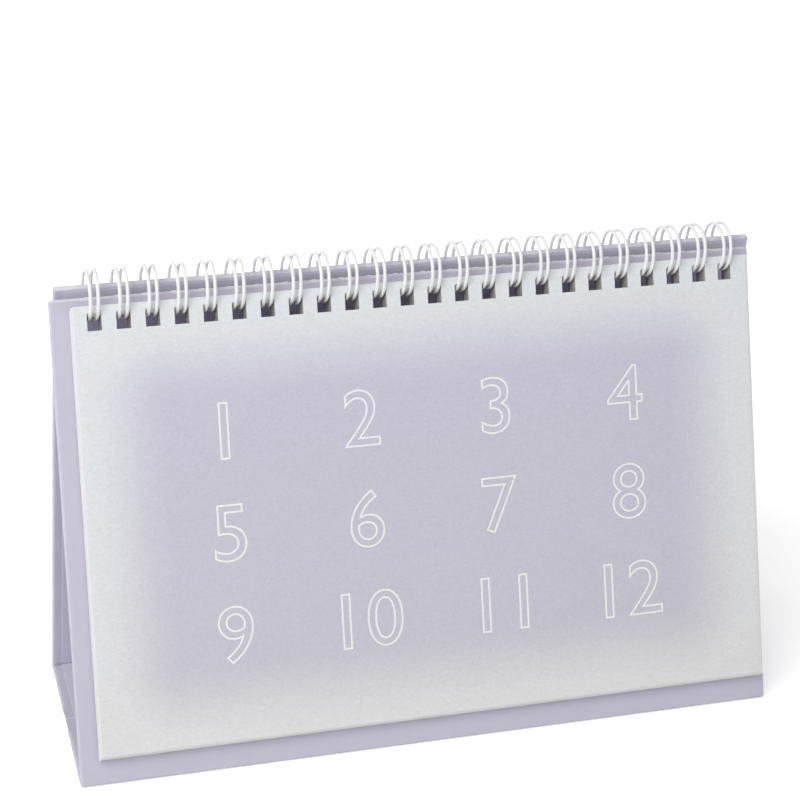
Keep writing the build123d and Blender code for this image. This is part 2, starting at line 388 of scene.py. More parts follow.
def open_cells(xs, ss, hole_xs, hole_ss):
    """Which cells of a grid lie in the holes: every second span of hole_xs, within the span hole_ss."""
    if not len(hole_ss):
        return None
    middle_x = (xs[1:] + xs[:-1]) / 2
    middle_s = (ss[1:] + ss[:-1]) / 2
    span = np.searchsorted(hole_xs, middle_x)
    inside_x = (span % 2 == 1) & (span < len(hole_xs))
    inside_s = (middle_s > hole_ss[0]) & (middle_s < hole_ss[1])
    return inside_s[:, None] & inside_x[None, :]


# Materials

BUMP_DEPTH = 0.05 * MM


class Finish(NamedTuple):
    """Look of a paper, a board or an ink.

    tone is the name of its colour, mottle and speck are the strengths of its broad and fine unevenness,
    and rubbed is how strongly the paler edge colour shows where the piece's edge attribute is high:
    scuffs along the crease, paler side edges on the linings, and a painted highlight, with rubbing, along
    the boards' rolled edges.
    """

    tone: str
    mottle: float
    speck: float
    roughness: float
    bump: float
    rubbed: float = 0.0


FINISHES = {
    # wrapping paper, matt, with a painted highlight and rubbing along its rolled edges, and the flatter lining
    # sheets
    "lilac_cover_paper": Finish("cover_paper", mottle=0.05, speck=0.03, roughness=0.5, bump=0.25, rubbed=0.55),
    "lilac_lining_paper": Finish("lining_paper", mottle=0.05, speck=0.03, roughness=0.56, bump=0.25, rubbed=0.8),
    # pressed fibre board, coarse and speckled
    "greyboard": Finish("greyboard", mottle=0.25, speck=0.35, roughness=0.8, bump=0.8),
    # coated stock: edges and backs, the hole walls in painted shade, and the two kinds of front
    "leaf_paper": Finish("leaf_paper", mottle=0.03, speck=0.03, roughness=0.5, bump=0.15),
    "leaf_cut": Finish("leaf_cut", mottle=0.05, speck=0.1, roughness=0.7, bump=0.3),
    "month_leaf_front": Finish("leaf_paper", mottle=0.02, speck=0.02, roughness=0.46, bump=0.12),
    "cover_leaf_front": Finish("leaf_glow", mottle=0.03, speck=0.16, roughness=0.5, bump=0.15),
    # printed ink, faintly uneven
    "white_ink": Finish("wire_coat", mottle=0.06, speck=0.05, roughness=0.55, bump=0.1),
    "day_ink": Finish("ink", mottle=0.06, speck=0.05, roughness=0.55, bump=0.1),
    "accent_ink": Finish("accent_ink", mottle=0.06, speck=0.05, roughness=0.55, bump=0.1),
}


def node(tree, kind, inputs=None, **settings):
    """A shader node with its settings, and its inputs set to values or linked from output sockets."""
    made = tree.nodes.new("ShaderNode" + kind)
    for name, value in settings.items():
        setattr(made, name, value)
    for name, value in (inputs or {}).items():
        if isinstance(value, bpy.types.NodeSocket):
            tree.links.new(value, made.inputs[name])
        else:
            made.inputs[name].default_value = value
    return made


def maths(tree, operation, *values):
    """Result of a Math node."""
    return node(tree, "Math", dict(enumerate(values)), operation=operation).outputs[0]


def vector_maths(tree, operation, *values):
    """Vector that a Vector Math node puts out."""
    return node(tree, "VectorMath", dict(enumerate(values)), operation=operation).outputs[0]


def distance(tree, vector):
    """Length of a vector."""
    return node(tree, "VectorMath", {0: vector}, operation="LENGTH").outputs["Value"]


def object_place(tree):
    """Object coordinates."""
    return node(tree, "TexCoord").outputs["Object"]


def noise(tree, place, scale, detail):
    """Factor of a noise at a place."""
    return node(tree, "TexNoise", {"Vector": place, "Scale": scale, "Detail": detail}).outputs["Fac"]


def ramp(tree, factor, low, high):
    """Factor stretched smoothly from low..high to 0..1."""
    inputs = {"Value": factor, "From Min": low, "From Max": high}
    return node(tree, "MapRange", inputs, interpolation_type="SMOOTHSTEP").outputs["Result"]


def mixed(tree, factor, first, second, blend="MIX"):
    """Mix of two colours; on a Mix node these are sockets 6 and 7, and the colour comes out of 2."""
    inputs = {0: factor, 6: first, 7: second}
    return node(tree, "Mix", inputs, data_type="RGBA", blend_type=blend, clamp_factor=True).outputs[2]


def bumped(tree, shader, height, strength):
    """Leads a height through a Bump node into the shader."""
    raised = node(tree, "Bump", {"Height": height, "Strength": strength, "Distance": BUMP_DEPTH})
    tree.links.new(raised.outputs["Normal"], shader.inputs["Normal"])


def new_group(name, inputs, outputs):
    """A node group with inputs of (kind, default) and outputs of a kind: (tree, given, result)."""
    tree = bpy.data.node_groups.new(name, "ShaderNodeTree")
    for label, (kind, default) in inputs.items():
        made = tree.interface.new_socket(label, in_out="INPUT", socket_type="NodeSocket" + kind)
        made.default_value = default
    for label, kind in outputs.items():
        tree.interface.new_socket(label, in_out="OUTPUT", socket_type="NodeSocket" + kind)
    return tree, tree.nodes.new("NodeGroupInput").outputs, tree.nodes.new("NodeGroupOutput").inputs


def paper_grain_group():
    """Paper's look as a group: broad mottling, fine specks and short fibres in the colour and height.

    The colour is multiplied by 1 plus the mean of the unevenness less the unevenness itself.
    """
    mottle_scale, speck_scale, fibre_scale = 38.0, 1500.0, (700.0, 1500.0, 1500.0)
    fibre_roughness = 0.16
    tree, given, result = new_group(
        "paper_grain",
        {
            "Color": ("Color", WHITE),
            "Mottle": ("Float", 0.05),
            "Speck": ("Float", 0.05),
            "Roughness": ("Float", 0.6),
        },
        {"Color": "Color", "Roughness": "Float", "Height": "Float"},
    )
    place = object_place(tree)
    broad = noise(tree, place, mottle_scale, 3.0)
    fine = noise(tree, place, speck_scale, 2.0)
    stretched = node(tree, "Mapping", {"Vector": place, "Scale": fibre_scale}).outputs["Vector"]
    fibre = noise(tree, stretched, 1.0, 3.0)
    grain = maths(tree, "ADD", fine, fibre)
    mottle = maths(tree, "MULTIPLY", broad, given["Mottle"])
    speck = maths(tree, "MULTIPLY", grain, given["Speck"])
    shade = maths(tree, "ADD", mottle, speck)
    mean = maths(tree, "MULTIPLY_ADD", given["Mottle"], 0.5, given["Speck"])
    gain = maths(tree, "ADD", maths(tree, "SUBTRACT", mean, shade), 1.0)
    tint = node(tree, "CombineColor", {"Red": gain, "Green": gain, "Blue": gain}).outputs["Color"]
    rough = maths(tree, "MULTIPLY_ADD", fibre, fibre_roughness, given["Roughness"])
    tree.links.new(mixed(tree, 1.0, given["Color"], tint, "MULTIPLY"), result["Color"])
    tree.links.new(rough, result["Roughness"])
    tree.links.new(grain, result["Height"])
    return tree


def edge_wear_group():
    """Lighter edges as a group: the piece's edge attribute, broken up by noise, brings in the paler edge colour,
    for scuffs and for a painted highlight.
    """
    patch_scale, patch_low, patch_high = 240.0, 0.3, 0.72
    tree, given, result = new_group(
        "edge_wear",
        {"Color": ("Color", WHITE), "Worn": ("Color", WHITE), "Amount": ("Float", 0.6)},
        {"Color": "Color"},
    )
    edge = node(tree, "Attribute", attribute_name="edge").outputs["Fac"]
    broken = ramp(tree, noise(tree, object_place(tree), patch_scale, 4.0), patch_low, patch_high)
    factor = maths(tree, "MULTIPLY", maths(tree, "MULTIPLY", edge, broken), given["Amount"])
    tree.links.new(mixed(tree, factor, given["Color"], given["Worn"]), result["Color"])
    return tree


def placed_group(tree, name, make, inputs):
    """A group placed in a material, built the first time it is asked for."""
    return node(tree, "Group", inputs, node_tree=bpy.data.node_groups.get(name) or make()).outputs


def new_material(name):
    """An empty material with its shader: (material, tree, shader)."""
    material = bpy.data.materials.new(name)
    material.use_nodes = True
    tree = material.node_tree
    return material, tree, tree.nodes["Principled BSDF"]


def finish_paper(tree, shader, tone, finish, worn_and_lit_tone):
    """Leads a paper tone through grain, lighter edges (scuffs and a painted highlight) and bump into the shader.
    """
    inputs = {
        "Color": tone, "Mottle": finish.mottle, "Speck": finish.speck, "Roughness": finish.roughness
    }
    grain = placed_group(tree, "paper_grain", paper_grain_group, inputs)
    shown = grain["Color"]
    if finish.rubbed:
        inputs = {"Color": shown, "Worn": worn_and_lit_tone, "Amount": finish.rubbed}
        shown = placed_group(tree, "edge_wear", edge_wear_group, inputs)["Color"]
    tree.links.new(shown, shader.inputs["Base Color"])
    tree.links.new(grain["Roughness"], shader.inputs["Roughness"])
    bumped(tree, shader, grain["Height"], finish.bump)


def paper_material(name, colours):
    """The plain paper, board or ink of that name, made the first time it is asked for."""
    if name in bpy.data.materials:
        return bpy.data.materials[name]
    finish = FINISHES[name]
    material, tree, shader = new_material(name)
    finish_paper(tree, shader, getattr(colours, finish.tone), finish, colours.worn_paper)
    return material


def cover_leaf_material(colours, width, height):
    """Front of the cover leaf: a lilac field that fades into a cool white border.

    The field is a rounded rectangle. A point's distance beyond the rectangle's core, the length of the
    parts of its offset that pass the core's half sizes, wavers a little and is faded smoothly over the
    soft width. Field and border each change evenly from the foot to the top.
    """
    name = "cover_leaf_front"
    size = np.array([width, height, 0])
    core = size * (0.3725, 0.29, 0)
    centre = size * (0.495, 0.48, 0)
    soft = 0.2 * height
    waver, cloud_scale = 0.1 * soft, 30.0
    material, tree, shader = new_material(name)
    uv = node(tree, "UVMap", uv_map="sheet").outputs["UV"]
    offset = vector_maths(tree, "SUBTRACT", vector_maths(tree, "MULTIPLY", uv, size), centre)
    past = vector_maths(tree, "SUBTRACT", vector_maths(tree, "ABSOLUTE", offset), core)
    away = distance(tree, vector_maths(tree, "MAXIMUM", past, (0, 0, 0)))
    cloud = noise(tree, object_place(tree), cloud_scale, 2.0)
    fade = ramp(tree, maths(tree, "MULTIPLY_ADD", cloud, waver, away), 0.0, soft)
    rise = node(tree, "SeparateXYZ", {0: uv}).outputs["Y"]
    border = mixed(tree, rise, colours.leaf_foot, colours.leaf_border)
    glow = mixed(tree, rise, colours.glow_foot, colours.leaf_glow)
    finish_paper(tree, shader, mixed(tree, fade, glow, border), FINISHES[name], colours.worn_paper)
    return material


def wire_material(colours):
    """White nylon coating: glossy, with slight ripples and a few dull scuffs."""
    scuff_scale, scuff_low, scuff_high, scuff_shade = 160.0, 0.56, 0.72, 0.92
    roughness, scuff_roughness = 0.24, 0.22
    ripple_scale, ripple_bump = 700.0, 0.1
    material, tree, shader = new_material("white_wire_coat")
    place = object_place(tree)
    scuff = ramp(tree, noise(tree, place, scuff_scale, 3.0), scuff_low, scuff_high)
    dull = tuple(scuff_shade * part for part in colours.wire_coat[:3]) + (1.0,)
    tree.links.new(mixed(tree, scuff, colours.wire_coat, dull), shader.inputs["Base Color"])
    rough = maths(tree, "MULTIPLY_ADD", scuff, scuff_roughness, roughness)
    tree.links.new(rough, shader.inputs["Roughness"])
    bumped(tree, shader, noise(tree, place, ripple_scale, 1.0), ripple_bump)
    return material


# Pieces

# the four boards: body, outer side, and the joint at the lower corner
PANELS = {
    "front": ("front_stand", FRONTWARD, "base_front_fold"),
    "rear": ("rear_stand", -FRONTWARD, "base_rear_fold"),
    "base_front": ("base_front", DOWNWARD, "base_front_fold"),
    "base_rear": ("base_rear", DOWNWARD, "base_rear_fold"),
}


def hole_breaks(node_name, side):
    """Breaks of a node's row of square holes, across and along, or two empty lists.

    A node with fewer than six breaks across has no holes.
    """
    sheet = Sheet(node_name, side)
    if len(sheet.xs) < 6:
        return np.array([]), np.array([])
    return sheet.xs[1:-1], sheet.ss[1:-1]


def board_holes(name, side, sizes):
    """Breaks of a board's row of holes, across and along, lowered against its solid."""
    hole_xs, hole_ss = hole_breaks(name + "_lining", -side)
    if len(hole_ss):
        hole_ss = hole_ss - getattr(sizes, name + "_hole_drop")
    return hole_xs, hole_ss


class CALENDAR_OT_wrap_boards(bpy.types.Operator):
    """Lilac paper round each of the four boards, with rolled edges and the boards' cut edge in the holes"""

    bl_idname = "calendar.wrap_boards"
    bl_label = "Wrap boards"

    ROLL_TURNS = 5
    # painted highlight, with rubbing, along the top edge of each board with holes
    RIDGE_RUB = 2.0

    def execute(self, context):
        sizes = context.scene.calendar_sizes
        colours = context.scene.calendar_colours
        paper = paper_material("lilac_cover_paper", colours)
        board = paper_material("greyboard", colours)
        roll = sizes.edge_roll
        for name, (body, side, _) in PANELS.items():
            node_name = name + "_cover_paper"
            sheet = Sheet(node_name, side)
            back, front = sheet.depths[[0, -1]]
            hole_xs, hole_ss = board_holes(name, side, sizes)
            xs = with_supports(np.concatenate([sheet.edges, hole_xs]), 3 * roll)
            ss = with_supports(np.concatenate([sheet.ss[[0, -1]], hole_ss]), 3 * roll)
            holes = open_cells(xs, ss, hole_xs, hole_ss)
            patches = rolled_plate(xs, ss, back, front, roll, self.ROLL_TURNS, holes, sizes.hole_cover)
            flat, triangles = join(patches)
            piece = make_piece(name + "_wrap", sheet.place(flat), triangles, [paper, board])
            # the edge attribute paints a highlight, with rubbing, on the rolled edges, and a stronger one along
            # the ridge
            inwards = np.minimum(flat[:, :2] - (xs[0], ss[0]), (xs[-1], ss[-1]) - flat[:, :2]).min(axis=1)
            edge = np.clip(1 - inwards / roll, 0, 1)
            if len(hole_ss):
                edge += self.RIDGE_RUB * np.clip(1 - (ss[-1] - flat[:, 1]) / roll, 0, 1)
                set_slots(piece, self.hole_walls(piece, sheet, xs, hole_ss))
            set_attribute(piece, "edge", edge)
            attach(piece, body)
            core = frame["nodes"][name + "_board"]
            core.data.materials.clear()
            core.data.materials.append(board)
            if len(hole_ss):
                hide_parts(node_name, name + "_board")
            else:
                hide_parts(node_name)
        return {"FINISHED"}

    def hole_walls(self, piece, sheet, xs, hole_ss):
        """Which faces are walls of the holes: well within the thickness, the sides and the holes' height."""
        middles = read(piece.data.polygons, "center", 3)
        height = middles @ sheet.along
        deep = np.abs(middles @ sheet.out - sheet.depths.mean()) < 0.45 * np.ptp(sheet.depths)
        between = (middles[:, 0] > xs[1]) & (middles[:, 0] < xs[-2])
        return deep & between & (height > hole_ss[0] - MM) & (height < hole_ss[1] + 0.5 * MM)


class CALENDAR_OT_line_boards(bpy.types.Operator):
    """A lining sheet on the inner side of each board, a little proud of the turned-in paper but at its fold"""

    bl_idname = "calendar.line_boards"
    bl_label = "Line boards"

    ROLL_TURNS = 3
    FOLD_GAP = 0.25 * MM
    CREASE_GAP = 0.5 * MM
    TAPER = 0.016

    def execute(self, context):
        """The sheet's height over the board grows with the distance from the fold, by the taper, up to proud."""
        sizes = context.scene.calendar_sizes
        paper = paper_material("lilac_lining_paper", context.scene.calendar_colours)
        proud = sizes.lining_proud
        roll = 0.9 * proud
        for name, (body, side, fold) in PANELS.items():
            node_name = name + "_lining"
            sheet = Sheet(node_name, -side)
            back, front = sheet.depths[[0, -1]]
            hole_xs, hole_ss = board_holes(name, side, sizes)
            corner = joint_point(fold) @ sheet.along
            ends = sheet.ss[[0, -1]]
            near = np.abs(ends - corner).argmin()
            way = np.sign(ends[1 - near] - corner)
            ends[near] = corner + way * self.FOLD_GAP
            if name.startswith("base"):
                creased = Sheet(name + "_crease", -side).ss
                ends[1 - near] = creased[np.abs(creased - corner).argmax()] - way * self.CREASE_GAP
            full = corner + way * proud / self.TAPER
            xs = with_supports(np.concatenate([sheet.edges, hole_xs]), 4 * roll)
            ss = with_supports(np.concatenate([ends, [full], hole_ss]), 4 * roll)
            holes = open_cells(xs, ss, hole_xs, hole_ss)
            cover = 1.2 * sizes.hole_cover
            patches = rolled_plate(xs, ss, back, front + proud, roll, self.ROLL_TURNS, holes, cover)
            flat, triangles = join(patches)
            flat[:, 2] = np.minimum(flat[:, 2], front + self.TAPER * np.abs(flat[:, 1] - corner))
            piece = make_piece(name + "_lining_sheet", sheet.place(flat), triangles, [paper])
            # the edge attribute makes the sheet paler along its side edges
            inwards = np.minimum(flat[:, 0] - xs[0], xs[-1] - flat[:, 0])
            set_attribute(piece, "edge", np.clip(1 - inwards / (3 * roll), 0, 1))
            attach(piece, body)
            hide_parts(node_name)
        return {"FINISHED"}


class CALENDAR_OT_fold_papers(bpy.types.Operator):
    """The paper hinges of the two lower corners, each bent round its fold line"""

    bl_idname = "calendar.fold_papers"
    bl_label = "Fold papers"

    BEND_SHARE = 0.1
    FACE_DEPTH = 0.3 * MM
    BACK_DEPTH = 1.4 * FACE_DEPTH
    BEND_POINTS = 7
    COLUMNS = 24

    def execute(self, context):
        sizes = context.scene.calendar_sizes
        paper = paper_material("lilac_lining_paper", context.scene.calendar_colours)
        for name, child in (("front", "base_front"), ("rear", "base_rear")):
            self.bend(name, child, sizes.fold_leg, paper)
        return {"FINISHED"}

    def bend(self, name, child, reach, paper):
        """A strip behind the linings, whose section follows the board, turns and follows the base.

        The section's line is straight on each leg; near the corner, within bend, it is the quadratic
        curve from corner + bend * up to corner + bend * level that is drawn to the corner. The strip's
        two faces lie at two depths under that line, along a normal that turns evenly in the curve.
        """
        body, side, fold = PANELS[name]
        node_name = name + "_fold_paper"
        corner = joint_point(fold)
        board = Sheet(name + "_cover_paper", side)
        up = board.along
        level = np.array([0.0, -side[1], 0.0])
        low, high = (np.array(part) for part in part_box(node_name))
        bend = self.BEND_SHARE * reach
        run = np.linspace(0, 1, self.BEND_POINTS)[:, None]
        curve = (1 - run) ** 2 * bend * up + run**2 * bend * level
        line = np.concatenate([[reach * up], curve, [reach * level]])
        normal = np.concatenate([[-board.out], (1 - run) * -board.out + run * UPWARD, [UPWARD]])
        normal /= np.linalg.norm(normal, axis=1)[:, None]
        faces = [line - self.FACE_DEPTH * normal, (line - self.BACK_DEPTH * normal)[::-1]]
        section = np.concatenate(faces) + corner
        across = np.linspace(low[0], high[0], self.COLUMNS)
        grid = section[:, None, :] + across[None, :, None] * ACROSS
        count = len(line)
        patches = [(grid, quads(len(section), len(across), close=True))]
        for column in (0, -1):
            end = np.stack([grid[:count, column], grid[count:, column][::-1]], 1)
            patches.append((end, quads(count, 2)))
        points, triangles = join(patches)
        piece = make_piece(name + "_fold_strip", points, triangles, [paper])
        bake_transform(piece)
        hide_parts(node_name)


class CALENDAR_OT_crease_papers(bpy.types.Operator):
    """The two strips of bare paper that meet at the base's crease, dipped along it and scuffed lighter there"""

    bl_idname = "calendar.crease_papers"
    bl_label = "Crease papers"

    ROLL = 0.04 * MM
    ROLL_TURNS = 2
    COLUMNS = 40
    SIDE_GAP = 0.3 * MM
    END_SUPPORT = 0.12 * MM
    FOLD_SUPPORTS = np.array([0.15, 0.4, 0.7, 1.1, 1.6]) * MM
    OVERLAP = 1.2 * MM
    DIP_WIDTH = 0.7 * MM
    RUB_WIDTH = 0.9 * MM
    RUB = 1.8

    def execute(self, context):
        """Each strip has two layers: as wide as the board beside it, and as wide as the lining over it.

        At a distance d from the fold it dips by the dip times exp(-(d / width) squared), and the rub
        along the fold follows the same curve with a width of its own.
        """
        sizes = context.scene.calendar_sizes
        colours = context.scene.calendar_colours
        paper = paper_material("lilac_lining_paper", colours)
        rim = paper_material("lilac_cover_paper", colours)
        half = np.ptp(Sheet("base_front_lining", -DOWNWARD).edges) / 2
        for name, way in (("base_front", 1), ("base_rear", -1)):
            node_name = name + "_crease"
            sheet = Sheet(node_name, -DOWNWARD)
            root, end, fold = sheet.ss[::way]
            middle = sheet.edges.mean()
            level = -Sheet(name + "_cover_paper", DOWNWARD).depths[0]
            layers = (
                (sheet.edges, end - way * self.OVERLAP, sheet.depths[0], level + 0.03 * MM),
                (middle + half * BOTH_WAYS, root, level - 0.05 * MM, level + 0.7 * sizes.lining_proud),
            )
            patches = []
            for edges, far, low, high in layers:
                xs = with_supports(edges, self.SIDE_GAP, self.COLUMNS)
                ends = [far, far + way * self.END_SUPPORT, fold]
                ss = breaks(np.concatenate([ends, fold - way * self.FOLD_SUPPORTS]))
                patches += rolled_plate(xs, ss, low, high, self.ROLL, self.ROLL_TURNS)
            flat, triangles = join(patches)
            apart = np.abs(flat[:, 1] - fold)
            flat[:, 2] -= sizes.crease_dip * np.exp(-((apart / self.DIP_WIDTH) ** 2))
            piece = make_piece(name + "_crease_strip", sheet.place(flat), triangles, [paper, rim])
            set_attribute(piece, "edge", self.RUB * np.exp(-((apart / self.RUB_WIDTH) ** 2)))
            beside = np.abs(flat[:, 0] - middle) > half + 0.01 * MM
            set_slots(piece, beside[face_corners(piece.data.polygons)].any(axis=1))
            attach(piece, PANELS[name][0])
            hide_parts(node_name)
        return {"FINISHED"}


class CALENDAR_OT_binding_wire(bpy.types.Operator):
    """The coated wire, bent into twin loops round the ring's axis, as one unbroken tube"""

    bl_idname = "calendar.binding_wire"
    bl_label = "Binding wire"

    ROOT_BEND = 1.3 * MM
    TIP_GAP = 1.7 * MM
    BEND_STEPS = 6
    LEG_STEPS = 48
    SEAM = math.radians(-76.0)
    SIDES = 12
    END_CROWN = 0.3

    def execute(self, context):
        sizes = context.scene.calendar_sizes
        coat = wire_material(context.scene.calendar_colours)
        holes = hole_breaks("cover_leaf", FRONTWARD)[0].reshape(-1, 2).mean(axis=1)
        places = np.stack([holes, np.zeros_like(holes)], -1)
        half_link = np.array([sizes.loop_pitch / 2, 0.0])
        loops = self.loop(sizes)[None] + places[:, None]
        route = np.concatenate([[places[0] - half_link], loops.reshape(-1, 2), [places[-1] + half_link]])
        points, triangles = self.tube(route, sizes)
        piece = make_piece("binding_wire", points, triangles, [coat])
        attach(piece, "front_stand")
        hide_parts("twin_loop_wire")
        return {"FINISHED"}

    def loop(self, sizes):
        """One loop unrolled on the ring's cylinder: rows of (across, arc from the root).

        From the link it turns a quarter circle of radius bend into the left leg, which runs straight
        round the ring while the twin gap shrinks evenly to the tip, where a half circle turns it into
        the right leg, the left one's mirror image.
        """
        bend = self.ROOT_BEND
        tip = sizes.twin_tip / 2
        finish = 2 * math.pi * sizes.ring_radius - self.TIP_GAP - tip
        quarter = np.linspace(0, QUARTER_TURN, self.BEND_STEPS + 1)
        root_x = -sizes.twin_root / 2 - bend + bend * np.sin(quarter)
        root_arc = bend - bend * np.cos(quarter)
        share = np.linspace(0, 1, self.LEG_STEPS + 1)[1:]
        leg_x = -(sizes.twin_root + (sizes.twin_tip - sizes.twin_root) * share) / 2
        leg_arc = bend + (finish - bend) * share
        turn = quarter[1:-1]
        left = np.concatenate(
            [
                np.stack([root_x, root_arc], -1),
                np.stack([leg_x, leg_arc], -1),
                np.stack([-tip * np.cos(turn), finish + tip * np.sin(turn)], -1),
            ]
        )
        return np.concatenate([left, [[0.0, finish + tip]], left[::-1] * (-1, 1)])

    def tube(self, route, sizes):
        """A round tube along the route wrapped on the cylinder.

        A point at arc length w lies at angle seam + w / radius. Sideways it is moved by the loop's lean
        less half its twist times the angle's cosine, times a hold that grows from the root to the top:
        ((1 - cos(turn)) / 2) to the power 1.5. The twist changes evenly along the row, from one way at
        the first loop to the other at the last. Above the axis the point is lowered by the flat times the
        squared sine. All of these stay within the leaves' holes. The tube's two directions are the
        cylinder's radius there and the cross product of that with the route's tangent.
        """
        turn = route[:, 1] / sizes.ring_radius
        angle = self.SEAM + turn
        out = np.stack([np.zeros_like(angle), np.cos(angle), np.sin(angle)], -1)
        row = route[:, 0] / np.abs(route[:, 0]).max()
        hold = ((1 - np.cos(turn)) / 2) ** 1.5
        sideways = route[:, 0] + hold * (sizes.loop_lean - sizes.loop_twist * row * np.cos(angle) / 2)
        sink = sizes.ring_flat * np.maximum(np.sin(angle), 0) ** 2
        line = joint_point("cover_turn") * (0, 1, 1) + sizes.ring_radius * out
        line += np.stack([sideways, 0 * sink, -sink], -1)
        tangent = np.gradient(line, axis=0)
        tangent /= np.linalg.norm(tangent, axis=1)[:, None]
        flank = np.cross(tangent, out)
        flank /= np.linalg.norm(flank, axis=1)[:, None]
        columns = self.SIDES + 1
        around = (np.arange(columns) / self.SIDES * 2 * math.pi)[None, :, None]
        radius = sizes.wire_diameter / 2
        skin = line[:, None] + radius * (np.cos(around) * out[:, None] + np.sin(around) * flank[:, None])
        patches = [(skin, quads(len(line), columns))]
        for number, way in ((0, -1), (-1, 1)):
            tip = line[number] + way * self.END_CROWN * radius * tangent[number]
            fan = np.stack([skin[number], np.broadcast_to(tip, (columns, 3))], 1)
            patches.append((fan, quads(columns, 2)))
        return join(patches)


LEAF_ROLL = 0.03 * MM
LEAF_ROLL_TURNS = 2
LEAF_SIDE_GAP = 0.4 * MM
LEAF_COLUMNS = 30
LEAF_ROWS = 24


def bowed(share, bow):
    """How far a leaf's curve stands out at a share of its height: bow times the squared share above it."""
    return bow * (1 - share) ** 2


def leaf_piece(node_name, name, body, materials, bow):
    """A leaf with its square holes, its foot curved out.

    Its materials are for its front, for its back and edges, and for the walls of its holes, which are darker as
    painted shade.
    """
    sheet = Sheet(node_name, FRONTWARD)
    back, front = sheet.depths[[0, -1]]
    hole_xs, hole_ss = hole_breaks(node_name, FRONTWARD)
    xs = with_supports(sheet.xs, LEAF_SIDE_GAP, LEAF_COLUMNS, hole_xs)
    ss = with_supports(sheet.ss, LEAF_SIDE_GAP, LEAF_ROWS, hole_ss)
    holes = open_cells(xs, ss, hole_xs, hole_ss)
    flat, triangles = join(rolled_plate(xs, ss, back, front, LEAF_ROLL, LEAF_ROLL_TURNS, holes))
    share = (flat[:, :2] - (xs[0], ss[0])) / (np.ptp(xs), np.ptp(ss))
    level = flat[:, 2].copy()
    flat[:, 2] += bowed(share[:, 1], bow)
    piece = make_piece(name, sheet.place(flat), triangles, materials)
    set_uv(piece, share)
    corners = face_corners(piece.data.polygons)
    on_front = (level[corners] > front - 0.0001 * MM).all(axis=1)
    upright = np.ptp(level[corners], axis=1) > (front - back) / 2
    centre = flat[corners].mean(axis=1)
    past_x = np.abs(centre[:, 0] - hole_xs.mean()) - np.ptp(hole_xs) / 2
    past_s = np.abs(centre[:, 1] - hole_ss.mean()) - np.ptp(hole_ss) / 2
    # the hole walls take the third material, darkened as painted shade
    in_hole = upright & (np.maximum(past_x, past_s) < 0.1 * MM)
    set_slots(piece, np.where(in_hole, 2, ~on_front))
    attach(piece, body)
    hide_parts(node_name)
    return sheet


def figure(text, outlined):
    """A number as flat points and triangles, one unit high, centred; outlined keeps only its contour."""
    curve = bpy.data.curves.new("figure", "FONT")
    curve.body = text
    curve.align_x = "CENTER"
    curve.align_y = "CENTER"
    curve.resolution_u = 6
    if outlined:
        curve.fill_mode = "NONE"
        curve.bevel_depth = outlined
        curve.bevel_resolution = 1
    holder = bpy.data.objects.new("figure", curve)
    bpy.context.scene.collection.objects.link(holder)
    bpy.context.view_layer.update()
    mesh = bpy.data.meshes.new_from_object(holder.evaluated_get(bpy.context.evaluated_depsgraph_get()))
    points = read(mesh.vertices, "co", 3)
    mesh.calc_loop_triangles()
    triangles = face_corners(mesh.loop_triangles)
    bpy.data.objects.remove(holder)
    bpy.data.curves.remove(curve)
    bpy.data.meshes.remove(mesh)
    middle = (points.max(axis=0) + points.min(axis=0)) / 2
    return points - middle * (1, 1, 0), triangles


def set_type(figures, places, size, height):
    """Figures set at places (across, along), size high, as points of (across, along, out) and triangles."""
    points, triangles, start = [], [], 0
    for (shape, faces), (x, s) in zip(figures, places):
        points.append(shape * (size, size, height) + (x, s, 0))
        triangles.append(faces + start)
        start += len(shape)
    return np.concatenate(points), np.concatenate(triangles)


def print_piece(name, sheet, flat, triangles, inks, slots, sizes, body):
    """A printed layer just above a leaf's front, curved as the leaf is."""
    share = (flat[:, 1] - sheet.ss[0]) / np.ptp(sheet.ss)
    flat = flat.copy()
    flat[:, 2] += sheet.depths[-1] + sizes.ink_height + bowed(share, sizes.leaf_bow)
    piece = make_piece(name, sheet.place(flat), triangles, inks, smooth=False, fix_normals=False)
    set_slots(piece, slots)
    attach(piece, body)


class CALENDAR_OT_cover_leaf(bpy.types.Operator):
    """The cover leaf: a lilac field on white, with the twelve month numbers in white outline"""

    bl_idname = "calendar.cover_leaf"
    bl_label = "Cover leaf"

    COLUMNS = np.array([0.2, 0.4, 0.6, 0.8])
    ROWS = np.array([0.7, 0.47, 0.24])
    FIGURE_SIZE = 24 * MM
    OUTLINE = 0.012
    OUTLINE_HEIGHT = 0.05 * MM

    def execute(self, context):
        sizes = context.scene.calendar_sizes
        colours = context.scene.calendar_colours
        plane = Sheet("cover_leaf", FRONTWARD)
        width, height = np.ptp(plane.xs), np.ptp(plane.ss)
        papers = [
            cover_leaf_material(colours, width, height),
            paper_material("leaf_paper", colours),
            paper_material("leaf_cut", colours),
        ]
        sheet = leaf_piece("cover_leaf", "cover_sheet", "cover", papers, sizes.leaf_bow)
        columns = sheet.xs[0] + width * self.COLUMNS
        rows = sheet.ss[0] + height * self.ROWS
        places = [(x, s) for s in rows for x in columns]
        figures = [figure(str(number), self.OUTLINE) for number in range(1, len(MONTH_DAYS) + 1)]
        flat, triangles = set_type(figures, places, self.FIGURE_SIZE, self.OUTLINE_HEIGHT)
        print_piece(
            "cover_numbers", sheet, flat, triangles, [paper_material("white_ink", colours)],
            np.zeros(len(triangles)), sizes, "cover",
        )
        return {"FINISHED"}


